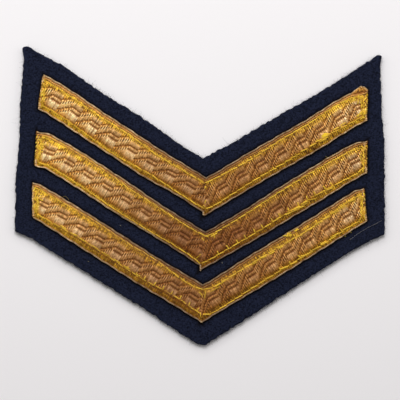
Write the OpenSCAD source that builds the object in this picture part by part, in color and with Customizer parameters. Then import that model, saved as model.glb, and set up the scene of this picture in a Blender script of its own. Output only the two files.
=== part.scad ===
// Rank chevron patch: three V-shaped bars of woven lace on a shield of thick wool cloth.
// It lies flat, back on z = 0, with the points of the chevrons towards -Y.
// The origin is on the back, in the middle of the cloth's box.
// Outlines are drafted from the outer point of the lower chevron and then centred.

/* [Lace] */
// Width of the woven lace
lace_w = 9.4; // [8:0.1:12]
// Thickness of the lace in its stitched channels
lace_t = 0.8; // [0.6:0.05:1.2]
// Height of the cords and of the satin field above the stitched channels
relief_h = 0.2; // [0.1:0.05:0.4]
// Width of one cord along the lace's edge, two of them side by side
cord_w = 0.55; // [0.4:0.05:0.7]
// Width of the channel that the stitches press into the lace
channel_w = 1.0; // [0.6:0.05:1.3]

/* [Woven wave] */
// Length of one repeat of the wave along the lace
wave_repeat = 6.75; // [5:0.05:9]
// Width of the two grooves that draw the wave
groove_w = 0.4; // [0.2:0.05:0.6]
// Depth of those grooves
groove_d = 0.15; // [0.05:0.05:0.3]

/* [Chevrons] */
// Cloth left showing between two chevrons, measured straight down
chevron_gap = 5.2; // [2:0.1:9]
// From the lower chevron's point out to the lower corner of its left end
left_reach = 50.8; // [35:0.1:70]
// From the lower chevron's point out to the lower corner of its right end
right_reach = 49.3; // [35:0.1:70]
// Rise of the left arms, in degrees
left_rise = 32; // [22:0.5:42]
// Rise of the right arms, in degrees
right_rise = 31; // [22:0.5:42]
// Lean of the line on which the left ends are turned, in degrees from upright
left_lean = 4; // [0:0.5:12]
// Lean of the line on which the right ends are turned, in degrees from upright
right_lean = 0; // [-4:0.5:12]

/* [Folds] */
// Width of the turned rim at each end of a lace
rim_w = 0.9; // [0.6:0.05:1.4]
// Height of that rim above the satin field
rim_h = 0.05; // [0.02:0.01:0.2]
// Width of the fold that the right arm lays over the left at the point
fold_w = 1.0; // [0.6:0.05:1.6]
// Height of that fold above the satin field
fold_h = 0.1; // [0.05:0.05:0.3]
// Rounding of the corners at the ends
end_round = 0.8; // [0.3:0.1:1.5]

/* [Cloth] */
// Thickness of the cloth
cloth_t = 2; // [1.2:0.1:3]
// Cloth above the upper chevron, measured square to its arms
top_margin = 4.8; // [2:0.1:10]
// Cloth below the lower chevron, measured square to its arms
bottom_margin = 6.3; // [2:0.1:12]
// Cloth to the left of the laces' ends
left_margin = 5.1; // [2:0.1:12]
// Cloth to the right of the laces' ends
right_margin = 5.3; // [2:0.1:12]
// Rounding of the cloth's cut corners
cloth_corner = 1.2; // [0.4:0.1:3]
// How deep each lace beds into the cloth
bed_d = 0.2; // [0.1:0.05:0.4]
// Clearance between a lace and its bed
bed_gap = 0.1; // [0.05:0.01:0.2]

/* [Hidden] */
LEFT = -1;
RIGHT = 1;
UPPER = 0;
MIDDLE = 1;
LOWER = 2;
CUT_OVER = 1;
ARC_STEPS = 5;

// One row for each chevron, hand-laid, as shares of the lace's width
POINT_SHIFT = 0;
FOLD_OUT = 1;
chevron_rows = [
    // point shift to the right, fold run past the outer edge
    [0.10, 0.06],
    [0.09, 0.22],
    [0.00, 0.09],
];

// One row for each arm, the left then the right arm of each chevron
TURN = 0;
END_SHIFT = 1;
END_LEAN = 2;
WAVE_START = 3;
WAVE_STRETCH = 4;
arm_rows = [
    // turn and end lean in degrees, end shift as a share of the lace's width,
    // start and stretch of the wave as shares of its repeat
    // turn, end shift, end lean, wave start, wave stretch
    [0.4, 0.05, 1.3, 0.419, 1.014],
    [-0.8, 0.02, 0.0, 0.101, 1.007],
    [-0.2, 0.07, 0.8, 0.729, 1.015],
    [-0.1, 0.01, 0.0, 0.868, 1.005],
    [-0.5, 0.00, -3.2, 0.152, 0.979],
    [0.8, 0.01, 3.4, 0.817, 0.992],
];

// The wave's two grooves in one repeat: share along it, share across from the upper edge
long_groove = [[0.37, 0.80], [1.00, 0.40], [1.45, 0.40], [1.86, 0.20]];
short_groove = [[0.52, 0.80], [1.00, 0.53], [1.49, 0.49], [1.97, 0.20]];

// Wander of each cut edge of the cloth, counted anticlockwise round its outline
// share along the edge, share of its margin outwards
top_left_wander = [[0.10, -0.10], [0.25, 0.00], [0.36, 0.09], [0.58, 0.09], [0.81, 0.20], [0.95, 0.10]];
left_wander = [[0.08, 0.00], [0.30, 0.06], [0.52, 0.01], [0.72, 0.10], [0.85, 0.06]];
bottom_left_wander = [[0.06, -0.17], [0.24, -0.12], [0.67, -0.11], [0.90, -0.01]];
bottom_right_wander = [[0.10, -0.02], [0.33, -0.07], [0.55, -0.11], [0.78, -0.16], [0.94, -0.09]];
right_wander = [[0.30, 0.03], [0.50, 0.05], [0.78, -0.08], [0.93, -0.07]];
top_right_wander = [[0.09, 0.03], [0.35, -0.07], [0.66, 0.01], [0.87, 0.04]];

// How far the cloth's top edges turn from the arms beside them, in degrees
TOP_LEFT_TURN = -0.6;
TOP_RIGHT_TURN = 0.8;
// Lean of the cloth's sides, in degrees from upright
CLOTH_LEFT_LEAN = 2.8;
CLOTH_RIGHT_LEAN = 1.1;

function across(v) = [-v.y, v.x];
function crossing(p, d, q, e) =
    p + d * ((q - p) * across(e)) / (d * across(e));

// An arm runs from the chevron's point outwards, its outer edge is the lower one
function arm_row(i, side) = arm_rows[2 * i + (side == RIGHT ? 1 : 0)];
function arm_rise(i, side) =
    (side == RIGHT ? right_rise : left_rise) + arm_row(i, side)[TURN];
function along_arm(angle, side) = [side * cos(angle), sin(angle)];
function over_arm(angle, side) = [-side * sin(angle), cos(angle)];
function arm_along(i, side) = along_arm(arm_rise(i, side), side);
function arm_over(i, side) = over_arm(arm_rise(i, side), side);

chevron_pitch = lace_w / cos((left_rise + right_rise) / 2) + chevron_gap;
function chevron_point(i) =
    [chevron_rows[i][POINT_SHIFT] * lace_w, (LOWER - i) * chevron_pitch];

// The line on which an arm ends
function end_lean(i, side) =
    (side == RIGHT ? right_lean : left_lean) + arm_row(i, side)[END_LEAN];
function end_way(lean, side) = [-side * sin(lean), cos(lean)];
function reach(side) = side == RIGHT ? right_reach : left_reach;
function reach_corner(side) =
    [side * reach(side), reach(side) * tan(side == RIGHT ? right_rise : left_rise)];
function ends_line(side) = end_way(side == RIGHT ? right_lean : left_lean, side);
function arm_end(i, side, inset) =
    let (shift = side * (arm_row(i, side)[END_SHIFT] * lace_w - inset))
    crossing(reach_corner(side) + [shift, 0], ends_line(side),
             chevron_point(i), arm_along(i, side));

// Where the arm's line at a distance from its outer edge meets its end
function end_corner(i, side, out, inset) =
    crossing(arm_end(i, side, inset), end_way(end_lean(i, side), side),
             chevron_point(i) + out * arm_over(i, side), arm_along(i, side));

// The mitre runs from the inner corner of the V to the tip of the folded corner
function mitre_corner(i, out) =
    crossing(chevron_point(i) + out * arm_over(i, LEFT), arm_along(i, LEFT),
             chevron_point(i) + out * arm_over(i, RIGHT), arm_along(i, RIGHT));
function mitre_top(i, grow) = mitre_corner(i, lace_w + grow);
function mitre_tip(i) =
    mitre_corner(i, 0) - chevron_rows[i][FOLD_OUT] * lace_w * arm_along(i, RIGHT);
function mitre_way(i) =
    let (run = mitre_top(i, 0) - mitre_tip(i)) run / norm(run);
function folded_corner(i, side, grow) =
    crossing(mitre_tip(i) + grow * across(mitre_way(i)), mitre_way(i),
             chevron_point(i) - grow * arm_over(i, side), arm_along(i, side));

// Points a corner is rounded with, along a curve that leaves both sides smoothly
function bend(before, corner, after, radius) =
    let (a = before - corner,
         b = after - corner,
         from = corner + a * min(radius / norm(a), 0.45),
         to = corner + b * min(radius / norm(b), 0.45))
    [for (s = [0 : ARC_STEPS])
        let (t = s / ARC_STEPS)
        (1 - t) * (1 - t) * from + 2 * t * (1 - t) * corner + t * t * to];
function rounded(points, radii) =
    let (n = len(points))
    [for (k = [0 : n - 1])
        each (radii[k] == 0 ? [points[k]]
              : bend(points[(k + n - 1) % n], points[k], points[(k + 1) % n], radii[k]))];

function chevron_outline(i, grow) = rounded(
    [end_corner(i, LEFT, lace_w + grow, -grow), end_corner(i, LEFT, -grow, -grow),
     folded_corner(i, LEFT, grow), folded_corner(i, RIGHT, grow),
     end_corner(i, RIGHT, -grow, -grow), end_corner(i, RIGHT, lace_w + grow, -grow),
     mitre_top(i, grow)],
    [end_round, end_round, 0, 0, end_round, end_round, 0]);

// The cloth's cut edges run beside the laces
function cloth_side(side) = end_way(side == RIGHT ? CLOTH_RIGHT_LEAN : CLOTH_LEFT_LEAN, side);
function cloth_side_point(side) =
    end_corner(LOWER, side, 0, side == RIGHT ? -right_margin : -left_margin);
function cloth_top_angle(side) =
    arm_rise(UPPER, side) + (side == RIGHT ? TOP_RIGHT_TURN : TOP_LEFT_TURN);
function cloth_top_point(side) =
    chevron_point(UPPER) + (lace_w + top_margin) * arm_over(UPPER, side);
function cloth_low_point(side) = -bottom_margin * arm_over(LOWER, side);
function cloth_top_corner(side) =
    crossing(cloth_side_point(side), cloth_side(side),
             cloth_notch(), along_arm(cloth_top_angle(side), side));
function cloth_low_corner(side) =
    crossing(cloth_side_point(side), cloth_side(side),
             cloth_low_point(side), arm_along(LOWER, side));
function cloth_notch() =
    crossing(cloth_top_point(LEFT), arm_along(UPPER, LEFT),
             cloth_top_point(RIGHT), arm_along(UPPER, RIGHT));
function cloth_tip() =
    crossing(cloth_low_point(LEFT), arm_along(LOWER, LEFT),
             cloth_low_point(RIGHT), arm_along(LOWER, RIGHT));

function cut_edge(from, to, wander, margin) =
    [for (row = wander) from + row[0] * (to - from)
        - row[1] * margin * across(to - from) / norm(to - from)];
function unrounded(wander) = [for (row = wander) 0];
cloth_outline = rounded(
    [cloth_top_corner(LEFT),
     each cut_edge(cloth_top_corner(LEFT), cloth_low_corner(LEFT), left_wander, left_margin),
     cloth_low_corner(LEFT),
     each cut_edge(cloth_low_corner(LEFT), cloth_tip(), bottom_left_wander, bottom_margin),
     cloth_tip(),
     each cut_edge(cloth_tip(), cloth_low_corner(RIGHT), bottom_right_wander, bottom_margin),
     cloth_low_corner(RIGHT),
     each cut_edge(cloth_low_corner(RIGHT), cloth_top_corner(RIGHT), right_wander, right_margin),
     cloth_top_corner(RIGHT),
     each cut_edge(cloth_top_corner(RIGHT), cloth_notch(), top_right_wander, top_margin),
     cloth_notch(),
     each cut_edge(cloth_notch(), cloth_top_corner(LEFT), top_left_wander, top_margin)],
    [cloth_corner, each unrounded(left_wander),
     cloth_corner, each unrounded(bottom_left_wander),
     2 * cloth_corner, each unrounded(bottom_right_wander),
     cloth_corner, each unrounded(right_wander),
     cloth_corner, each unrounded(top_right_wander),
     cloth_corner, each unrounded(top_left_wander)]);

cloth_x = [for (p = cloth_outline) p.x];
cloth_y = [for (p = cloth_outline) p.y];
middle = [min(cloth_x) + max(cloth_x), min(cloth_y) + max(cloth_y)] / 2;
lace_z = cloth_t - bed_d + bed_gap;
field_z = lace_t + relief_h;

module drafted(z) {
    translate([-middle.x, -middle.y, z]) children();
}

module backing_cloth() {
    color("#1d2135") difference() {
        drafted(0) linear_extrude(cloth_t) polygon(cloth_outline);
        for (i = [UPPER : LOWER])
            drafted(cloth_t - bed_d) linear_extrude(bed_d + CUT_OVER)
                polygon(chevron_outline(i, bed_gap));
    }
}

// The lace's cross-section: two cords along each edge, a channel, the satin field
field_edge = 2 * cord_w + channel_w;
function cord_top(centre) =
    [for (s = [0 : ARC_STEPS])
        let (turn = 180 * s / ARC_STEPS)
        [centre - cord_w / 2 * cos(turn), lace_t + relief_h * sin(turn)]];
lace_half = [
    [-CUT_OVER, 0],
    [-CUT_OVER, lace_t],
    each cord_top(cord_w * 2 / 5),
    each cord_top(cord_w * 7 / 5),
    [field_edge, lace_t],
    [field_edge + relief_h, field_z - relief_h / 4],
    [field_edge + 2 * relief_h, field_z]];
lace_section = [
    each lace_half,
    each [for (k = [len(lace_half) - 1 : -1 : 0]) [lace_w - lace_half[k].x, lace_half[k].y]]];

// Children drawn along +X with the outer edge on the X axis, laid on an arm
module laid_on_arm(i, side) {
    translate(chevron_point(i))
        mirror([side == LEFT ? 1 : 0, 0, 0])
            rotate(arm_rise(i, side)) children();
}
function arm_run(i, side) = norm(end_corner(i, side, 0, -lace_w) - chevron_point(i));
module lace_strip(i, side) {
    laid_on_arm(i, side)
        translate([-lace_w, 0, 0]) rotate([90, 0, 90])
            linear_extrude(arm_run(i, side) + lace_w) polygon(lace_section);
}

// A groove of the wave as a band about its path, drawn along +X
function groove_band(path, side, start, step) =
    let (place = [for (p = path) [start + side * (p.x - 1) * step, (1 - p.y) * lace_w]])
    [for (p = place) p + [0, groove_w / 2],
     for (k = [len(place) - 1 : -1 : 0]) place[k] - [0, groove_w / 2]];
module wave_grooves(i, side) {
    step = wave_repeat * arm_row(i, side)[WAVE_STRETCH];
    first = step * arm_row(i, side)[WAVE_START];
    copies = floor(arm_run(i, side) / step);
    laid_on_arm(i, side)
        for (n = [0 : copies], path = [long_groove, short_groove])
            translate([0, 0, field_z - groove_d]) linear_extrude(CUT_OVER)
                polygon(groove_band(path, side, first + n * step, step));
}

// Strips of an arm's plan: beside its end, and on its own side of the mitre
function end_strip(i, side, low, high, near, far) =
    [end_corner(i, side, low, near), end_corner(i, side, high, near),
     end_corner(i, side, high, far), end_corner(i, side, low, far)];
function mitre_side(i, side, away) =
    let (tip = mitre_tip(i) + away - lace_w * mitre_way(i),
         top = mitre_top(i, 0) + away + lace_w * mitre_way(i),
         run = 2 * reach(side) * arm_along(i, side))
    [tip, tip + run, top + run, top];

module lace_arm(i, side) {
    difference() {
        intersection() {
            lace_strip(i, side);
            linear_extrude(field_z + CUT_OVER)
                polygon(mitre_side(i, side, [fold_w / 2 + side * fold_w / 4, 0]));
        }
        wave_grooves(i, side);
        translate([0, 0, lace_t + relief_h / 10]) linear_extrude(CUT_OVER)
            polygon(end_strip(i, side, 2 * cord_w, lace_w - 2 * cord_w,
                              rim_w / 2, rim_w + channel_w));
    }
    linear_extrude(field_z + rim_h)
        polygon(end_strip(i, side, -CUT_OVER, lace_w + CUT_OVER, -CUT_OVER, rim_w));
}

// The fold of the mitre, which the right arm lays over the left
module mitre_fold(i) {
    tip = mitre_tip(i) - [fold_w / 8, 0] - lace_w * mitre_way(i);
    top = mitre_top(i, 0) - [fold_w / 8, 0] + lace_w * mitre_way(i);
    linear_extrude(field_z + fold_h)
        polygon([tip, tip + [fold_w, 0], top + [fold_w, 0], top]);
}

module chevron(i) {
    drafted(lace_z) intersection() {
        union() {
            lace_arm(i, LEFT);
            lace_arm(i, RIGHT);
            mitre_fold(i);
        }
        linear_extrude(field_z + CUT_OVER) polygon(chevron_outline(i, 0));
    }
}

module upper_chevron() {
    color("#b98b45") chevron(UPPER);
}
module middle_chevron() {
    color("#b98b45") chevron(MIDDLE);
}
module lower_chevron() {
    color("#b98b45") chevron(LOWER);
}

backing_cloth();
upper_chevron();
middle_chevron();
lower_chevron();
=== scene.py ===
"""Rank chevron patch: three V-shaped bars of woven gold lace sewn to a shield of navy wool.

Lengths are in millimetres until a mesh is made. An arm is measured from the chevron's
point: s runs outwards along it, t runs across it from its lower edge to its upper one.
"""

import math
from types import SimpleNamespace

import bpy
import numpy as np
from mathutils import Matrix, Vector
from mathutils.geometry import delaunay_2d_cdt


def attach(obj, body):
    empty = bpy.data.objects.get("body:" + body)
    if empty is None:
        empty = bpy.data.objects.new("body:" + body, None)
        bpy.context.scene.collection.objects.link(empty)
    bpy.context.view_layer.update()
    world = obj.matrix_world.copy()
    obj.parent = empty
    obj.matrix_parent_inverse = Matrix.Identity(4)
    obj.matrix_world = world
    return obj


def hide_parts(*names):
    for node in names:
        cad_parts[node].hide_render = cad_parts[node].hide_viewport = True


MM = 0.001
SEED = 4079
LEFT, RIGHT = -1, 1
CHEVRONS = ("upper", "middle", "lower")

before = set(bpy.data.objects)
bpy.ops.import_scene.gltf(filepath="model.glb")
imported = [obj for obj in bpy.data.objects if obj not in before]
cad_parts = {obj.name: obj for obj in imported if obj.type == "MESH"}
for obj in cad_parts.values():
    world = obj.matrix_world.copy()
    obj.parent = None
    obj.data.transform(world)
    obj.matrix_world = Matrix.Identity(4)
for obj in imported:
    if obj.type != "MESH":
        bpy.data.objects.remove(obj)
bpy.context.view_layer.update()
rng = np.random.default_rng(SEED)

# Sizes of the lace and the cloth, as in the solids
LACE_W = 9.4
WAVE_REPEAT = 6.75
CLOTH_TOP = 2.0
LACE_BASE = 1.9
LEFT_RISE, RIGHT_RISE = 32.0, 31.0

# Heights of the weft's middle: under the cords, in the sewn channels, in the satin field
CORD_BED_Z = 2.38
CHANNEL_Z = 2.52
FIELD_Z = 2.68
PILLOW = 0.07
# In from either edge, the channel's two sides. In from the lower edge, one more low line
CHANNEL_IN, CHANNEL_OUT = 1.20, 2.10
LOW_CHANNEL = 1.62

# The weave: picks run across the lace, warps bind them in rows
PICKS_PER_REPEAT = 22
ROW = 0.585
ROW_START = 5.56
RIGHT_ROW_DROP = 0.18
WEFT_HALF_W, WEFT_HALF_H = 0.160, 0.105
WEFT_RINGS = 44
BINDER_R = 0.070
# How far the left arm's picks run on under the right arm at the mitre
UNDER_MITRE = 0.30
# Rise of a float for each millimetre it spans, and its most
ARCH, ARCH_MOST = 0.13, 0.34
# Share of their spacing by which the two picks of a pair draw together where they are held
PINCH, PINCH_SPREAD = 0.34, 0.42
# How deep a warp holds a pick, and how far to either side. Beads of a groove are a bit wider
DIP, DIP_SPREAD, BEAD_SPREAD = 0.20, 0.26, 0.27
# Small ticks of the warps between the grooves: half width, depth in the field, in the channels
TICK_W, TICK_DIP, CHANNEL_TICK_DIP = 0.13, 0.03, 0.05
# The painted shade line in the gap beside the inner cord: distance in from the upper edge, half
# width, strength
CORD_LINE, CORD_LINE_W, CORD_GAP_SHADE = 1.15, 0.13, 0.6
# Share of the repeat over which the grooves run level, and how strong the painted highlight on the
# float below them is
LEVEL_TO = 0.44
LEVEL_HIGHLIGHT = 0.38

# Twisted cords along the lower (0) and upper (1) edge: distance in, radius, is it an inner one
CORDS = ((0, 0.22, 0.165, 0.0), (1, 0.20, 0.165, 0.0), (1, 0.84, 0.105, 1.0))
# A cord's two plies as shares of its radius: how far out each lies, and its own radius
CORD_PLY_OUT, CORD_PLY_R = 0.62, 0.78
# Length of one turn of the cords along an edge, round a folded tip and over a turned end
CORD_TWIST, TIP_TWIST, RIM_TWIST = 1.24, 0.80, 0.95
# Length of the upper right end where the turned-under corner hides the outer cord
CORD_UNDER_FLAP = 4.4

# The sewing thread
STITCH = 2.76
THREAD_R = 0.104
PLY_OFFSET = 0.100
PLY_TWIST = 1.45
# How far a stitch arches up in the line of sewing, and where stitches cross
LINE_LIFT, CROSSED_LIFT = 0.14, 0.30

# In metres: the width that the camera sees, the height it looks at, the photograph's middle
FIELD = 0.120
FACE_Z = 0.0022
PHOTO_MIDDLE_Y = -0.00105

# Crossing of the outer edges, inner corner and folded tip of each chevron
POINTS = {
    "upper": ((1.56, -5.47), (1.77, 5.53), (0.85, -5.88)),
    "middle": ((1.47, -21.69), (1.55, -10.69), (-0.05, -22.60)),
    "lower": ((0.62, -37.92), (0.59, -26.88), (0.25, -38.15)),
}
# Where the lines of sewing meet beside the inner corner and above the tip
SEWING_MEETS = {
    "upper": ((1.30, 3.90), (2.20, -4.00)),
    "middle": ((2.40, -12.10), (0.70, -20.60)),
    "lower": ((1.00, -27.90), (1.20, -35.70)),
}
# Turn of each arm in degrees, then the start and the stretch of its wave as shares of a repeat
ARM_ROWS = {
    ("upper", LEFT): (0.4, 0.42, 1.014),
    ("upper", RIGHT): (-0.8, 0.10, 1.007),
    ("middle", LEFT): (-0.2, 0.73, 1.015),
    ("middle", RIGHT): (-0.1, 0.87, 1.005),
    ("lower", LEFT): (-0.5, 0.15, 0.979),
    ("lower", RIGHT): (0.8, 0.82, 0.992),
}
# The grooves of the wave: path as shares along the repeat and across from the upper edge,
# and how firmly each holds the odd and the even picks
GROOVES = (
    (((0.40, 0.80), (0.45, 0.72), (0.97, 0.42)), 1.0, 1.0),
    (((0.97, 0.41), (1.44, 0.41)), 0.95, 0.95),
    (((1.44, 0.37), (1.80, 0.20)), 1.0, 0.5),
    (((0.49, 0.80), (1.00, 0.535)), 1.0, 0.05),
    (((1.00, 0.535), (1.44, 0.535)), 0.95, 0.95),
    (((1.44, 0.515), (1.98, 0.24)), 1.0, 0.05),
)

# Sway of each arm's lower and upper edge at seven even shares of its length
EDGE_SWAY = {
    ("upper", LEFT): ((0.15, 0.35, -0.35, -0.20, -0.10, 0.10, -0.05),
                      (0.20, 0.10, -0.10, 0.10, 0.20, 0.55, 0.40)),
    ("upper", RIGHT): ((-0.25, -0.10, -0.05, -0.15, -0.25, 0.10, -0.15),
                       (0.10, 0.0, 0.15, 0.10, 0.0, 0.40, 0.20)),
    ("middle", LEFT): ((-0.10, 0.20, 0.15, 0.05, 0.30, 0.35, 0.0),
                       (0.25, 0.05, 0.05, 0.55, 0.80, 0.85, 0.25)),
    ("middle", RIGHT): ((0.25, -0.05, -0.30, -0.25, -0.30, -0.15, -0.55),
                        (0.20, -0.10, -0.25, 0.10, 0.20, 0.25, -0.30)),
    ("lower", LEFT): ((-0.05, 0.05, -0.10, 0.05, 0.20, 0.40, 0.40),
                      (0.60, 0.50, 0.30, 0.50, 0.70, 0.75, 0.60)),
    ("lower", RIGHT): ((0.10, 0.0, -0.25, -0.35, -0.30, -0.20, -0.10),
                       (0.40, 0.10, 0.25, 0.15, 0.10, 0.15, 0.25)),
}
# Distance of the sewing from each arm's lower and upper edge at seven even shares
SEWING_INSET = {
    ("upper", LEFT): ((1.05, 0.95, 1.75, 0.85, 1.3, 1.6, 1.2),
                      (1.6, 1.8, 1.9, 1.4, 1.7, 1.6, 1.5)),
    ("upper", RIGHT): ((1.05, 1.3, 1.6, 1.6, 2.35, 1.7, 1.5),
                       (1.1, 1.6, 2.05, 1.5, 1.35, 1.2, 1.4)),
    ("middle", LEFT): ((0.9, 0.95, 0.75, 0.9, 1.1, 1.2, 1.1),
                       (0.9, 1.4, 1.1, 1.3, 0.8, 0.85, 0.9)),
    ("middle", RIGHT): ((1.4, 1.6, 1.8, 2.05, 2.1, 1.3, 1.2),
                        (1.1, 1.6, 1.3, 1.2, 1.1, 1.5, 1.7)),
    ("lower", LEFT): ((1.8, 2.5, 2.0, 2.1, 2.2, 1.7, 1.3),
                      (1.6, 1.8, 0.8, 1.1, 0.8, 1.2, 1.2)),
    ("lower", RIGHT): ((0.7, 0.8, 1.2, 1.3, 1.2, 1.35, 1.1),
                       (2.1, 2.1, 2.2, 2.2, 2.5, 1.9, 1.5)),
}
# End of each arm: lower corner and upper corner
ARM_ENDS = {
    ("upper", LEFT): ((-48.6, 26.1), (-47.1, 36.7)),
    ("upper", RIGHT): ((50.15, 22.5), (49.75, 32.0)),
    ("middle", LEFT): ((-49.55, 9.1), (-48.7, 19.5)),
    ("middle", RIGHT): ((50.1, 6.6), (49.6, 17.3)),
    ("lower", LEFT): ((-50.3, -6.25), (-50.3, 4.1)),
    ("lower", RIGHT): ((50.1, -7.4), (49.0, 2.8)),
}

# Turned-under corner above the upper right end: its rim, and how far the lace droops there
FLAP = ((45.1, 30.6), (46.4, 31.75), (48.2, 33.0), (49.4, 32.75), (50.15, 32.0), (50.0, 31.2))
CORNER_DROOP = {("upper", RIGHT): (1.5, 6.0), ("middle", RIGHT): (1.1, 3.2),
                ("lower", RIGHT): (0.9, 3.0), ("middle", LEFT): (1.0, 3.2),
                ("upper", LEFT): (0.3, 2.5), ("lower", LEFT): (0.5, 3.0)}
# How far a lower corner spreads down towards its end, and over what length
CORNER_SPREAD = {("upper", LEFT): (0.15, 3.0), ("middle", LEFT): (0.80, 3.6)}

# How dull and brown each arm's gilt is, at seven even shares from the point to the end: tarnish
# together with painted shade towards the point and painted light towards the end
WEAR_AND_SHADE = {
    ("upper", LEFT): (0.86, 0.72, 0.50, 0.22, 0.12, 0.04, 0.0),
    ("upper", RIGHT): (0.80, 0.78, 0.72, 0.62, 0.48, 0.30, 0.15),
    ("middle", LEFT): (0.98, 0.95, 0.74, 0.48, 0.24, 0.08, 0.0),
    ("middle", RIGHT): (1.0, 0.98, 0.88, 0.74, 0.60, 0.46, 0.34),
    ("lower", LEFT): (0.90, 0.84, 0.76, 0.66, 0.48, 0.28, 0.14),
    ("lower", RIGHT): (0.82, 0.80, 0.72, 0.64, 0.56, 0.46, 0.34),
}


def eased(values, share):
    """A smooth curve through values at even shares from 0 to 1."""
    v = np.asarray(values, float)
    x = np.clip(np.asarray(share, float), 0, 1) * (len(v) - 1)
    k = np.minimum(x.astype(int), len(v) - 2)
    f = x - k
    slope = np.gradient(v)
    a, b = v[k], v[k + 1]
    return (a * (1 + 2 * f) * (1 - f) ** 2 + slope[k] * f * (1 - f) ** 2
            + b * f * f * (3 - 2 * f) + slope[k + 1] * f * f * (f - 1))


def smooth(low, high, x):
    """0 below low, 1 above high and a smooth step between. The other way round if low is more."""
    f = np.clip((np.asarray(x, float) - low) / (high - low), 0, 1)
    return f * f * (3 - 2 * f)


def square_to(way):
    return np.array((-way[1], way[0]))


def crossing(line, base, way):
    """How far from each base, along way, a line given by two points lies."""
    normal = square_to(line[1] - line[0])
    return ((line[0] - base) @ normal) / (way @ normal)


class Arm:
    """One arm of a chevron, with the way from (s, t) to the badge's own millimetres."""

    def __init__(self, chevron, side):
        turn, start, stretch = ARM_ROWS[chevron, side]
        rise = math.radians((RIGHT_RISE if side == RIGHT else LEFT_RISE) + turn)
        self.chevron, self.side = chevron, side
        self.point = np.array(POINTS[chevron][0])
        self.along = np.array((side * math.cos(rise), math.sin(rise)))
        self.over = np.array((-side * math.sin(rise), math.cos(rise)))
        self.step = WAVE_REPEAT * stretch
        self.start = self.step * start
        self.pick = self.step / PICKS_PER_REPEAT
        self.mitre = np.array(POINTS[chevron][2]), np.array(POINTS[chevron][1])
        self.end = tuple(np.array(p) for p in ARM_ENDS[chevron, side])
        self.reach = max(float((p - self.point) @ self.along) for p in self.end)
        self.sway = EDGE_SWAY[chevron, side]
        self.droop, self.droop_run = CORNER_DROOP.get((chevron, side), (0.0, 1.0))
        self.spread, self.spread_run = CORNER_SPREAD.get((chevron, side), (0.0, 1.0))
        self.low_reach = float((self.end[0] - self.point) @ self.along)
        self.phase = rng.uniform(0, 2 * math.pi, 4)

    def ripple(self, s, which):
        """Small waves of an edge, drawn in by the sewing."""
        return (0.07 * np.sin(2 * math.pi * s / 6.1 + self.phase[which])
                + 0.04 * np.sin(2 * math.pi * s / 2.9 + self.phase[which + 2]))

    def shift(self, s, t):
        """How far the sway of both edges and the corners of the end move the lace at (s, t)."""
        share = s / self.reach
        low = eased(self.sway[0], share) + self.ripple(s, 0)
        high = eased(self.sway[1], share) + self.ripple(s, 1)
        high = high - self.droop * smooth(self.reach - self.droop_run, self.reach - 0.4, s)
        low = low - self.spread * smooth(self.low_reach - self.spread_run, self.low_reach, s)
        w = np.clip(t / LACE_W, 0, 1)
        return low * (1 - w) + high * w

    def place(self, s, t, z):
        """Points of the badge at (s, t), at height z."""
        s, t, z = np.broadcast_arrays(*(np.asarray(x, float) for x in (s, t, z)))
        moved = t + self.shift(s, t)
        x = self.point[0] + s * self.along[0] + moved * self.over[0]
        y = self.point[1] + s * self.along[1] + moved * self.over[1]
        return np.stack([x, y, z], -1)

    def meets(self, line, s):
        """t at which the pick at s crosses a line given by two points."""
        return crossing(line, self.point + np.asarray(s)[..., None] * self.along, self.over)

    def runs_to(self, line, t):
        """s at which the lace's line at t crosses a line given by two points."""
        return crossing(line, self.point + np.asarray(t)[..., None] * self.over, self.along)

    def off_line(self, line, s, t):
        """Distance inside the arm from its mitre or its end."""
        a, b = line
        normal = square_to((b - a) / np.linalg.norm(b - a))
        middle = self.point + self.reach / 2 * self.along + LACE_W / 2 * self.over
        if (middle - a) @ normal < 0:
            normal = -normal
        p = (self.point + np.asarray(s)[..., None] * self.along
             + np.asarray(t)[..., None] * self.over)
        return (p - a) @ normal


ARMS = {(c, side): Arm(c, side) for c in CHEVRONS for side in (LEFT, RIGHT)}


def from_edge(edge, inset):
    """t at a distance in from the lower edge (0) or the upper one (1)."""
    return LACE_W - inset if edge else inset


def lace_z(t):
    """Height of the weft's middle across the lace, before the weave's own relief."""
    edge = np.minimum(t, LACE_W - t)
    z = CORD_BED_Z + (CHANNEL_Z - CORD_BED_Z) * smooth(0.5, CHANNEL_IN, edge)
    z = z + (FIELD_Z - CHANNEL_Z) * smooth(CHANNEL_OUT - 0.35, CHANNEL_OUT + 0.25, edge)
    return z + PILLOW * np.sin(math.pi * np.clip(t / LACE_W, 0, 1)) ** 2


def fold_drop(distance, radius):
    """How far a folded edge has rounded off at a distance inside it."""
    d = np.clip(radius - distance, 0, radius)
    return radius - np.sqrt(np.maximum(radius * radius - d * d, 0))


# Meshes


def run_along(line):
    """Length run at each point of a line, or of each row of lines."""
    step = np.linalg.norm(np.diff(line, axis=-2), axis=-1)
    return np.concatenate([np.zeros((*step.shape[:-1], 1)), np.cumsum(step, axis=-1)], axis=-1)


def points_at(line, at):
    """Points of a flat line at lengths along it."""
    run = run_along(line)
    return np.stack([np.interp(at, run, line[:, k]) for k in (0, 1)], 1)


def square_round(centre):
    """The level and the upward way square to each row of points."""
    along = np.gradient(centre, axis=1)
    along /= np.linalg.norm(along, axis=2, keepdims=True) + 1e-12
    side = np.cross(along, (0.0, 0.0, 1.0))
    flat = np.linalg.norm(side, axis=2, keepdims=True)
    side = np.where(flat > 1e-3, side / np.maximum(flat, 1e-9), (1.0, 0.0, 0.0))
    return side, np.cross(side, along)


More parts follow.
